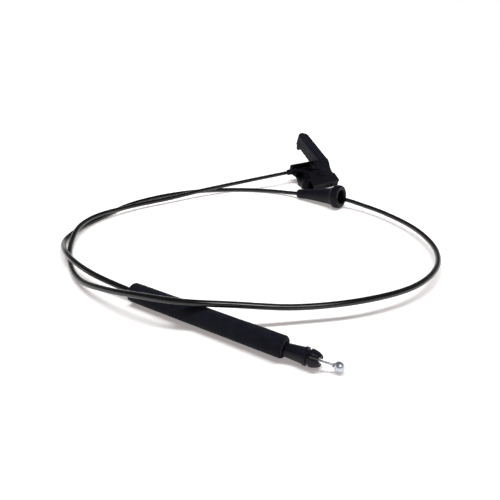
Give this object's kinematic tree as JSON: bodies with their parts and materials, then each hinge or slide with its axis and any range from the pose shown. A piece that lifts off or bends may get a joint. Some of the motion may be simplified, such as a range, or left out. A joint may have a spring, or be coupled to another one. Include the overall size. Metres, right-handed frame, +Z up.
{
  "type": "hood release handle",
  "caption": "Moulded pull lever pivoted on a bracket, with a sheathed release cable, bell-mouthed grommet, foam sleeve and snap-in ferrule with a ball end.",
  "frame": {"origin": "on the bracket's flat base face, under the hub, where the bracket rests", "axes": "+Z up off the base, +Y from the bracket's front edge to the cable tray, +X along the cable line away from the ferrule"},
  "size_m": [0.4448, 0.4107, 0.0541],
  "materials": {
    "black_nylon": "satin black moulding",
    "black_sheath": "smooth glossy black",
    "black_rubber": "satin black",
    "charcoal_foam": "matte charcoal foam",
    "bright_steel": "bright",
    "dark_steel": "black phosphate",
    "cast_zinc": "as cast"
  },
  "bodies": {
    "housing": {"bracket": "black_nylon", "pivot_pin": "dark_steel", "pin_clip": "bright_steel", "handle_ferrule": "black_nylon", "conduit_lead": "black_sheath", "conduit": "black_sheath", "grommet": "black_rubber", "foam_sleeve": "charcoal_foam", "snap_ferrule": "black_nylon", "ferrule_liner": "bright_steel"},
    "lever": {"lever": "black_nylon"},
    "handle_core": {"handle_wire": "bright_steel", "cable_nipple": "cast_zinc"},
    "latch_core": {"latch_wire": "bright_steel", "ball_end": "cast_zinc"}
  },
  "joints": [
    {"name": "lever_pivot", "type": "hinge", "parent": "housing", "child": "lever", "pos_m": [0.011, -0.0055, 0.0145], "axis": [0, -0.225, 0.9744], "range_deg": [0, 40]},
    {"name": "handle_core_slide", "type": "slide", "parent": "housing", "child": "handle_core", "axis": [-1, 0, 0], "range_m": [0, 0.0207]},
    {"name": "latch_core_slide", "type": "slide", "parent": "housing", "child": "latch_core", "axis": [0.4226, -0.9063, 0], "range_m": [0, 0.0207]}
  ],
  "couplings": [
    {"joint": "handle_core_slide", "follows": "lever_pivot", "m_per_rad": 0.0295},
    {"joint": "latch_core_slide", "follows": "lever_pivot", "m_per_rad": 0.0295}
  ]
}
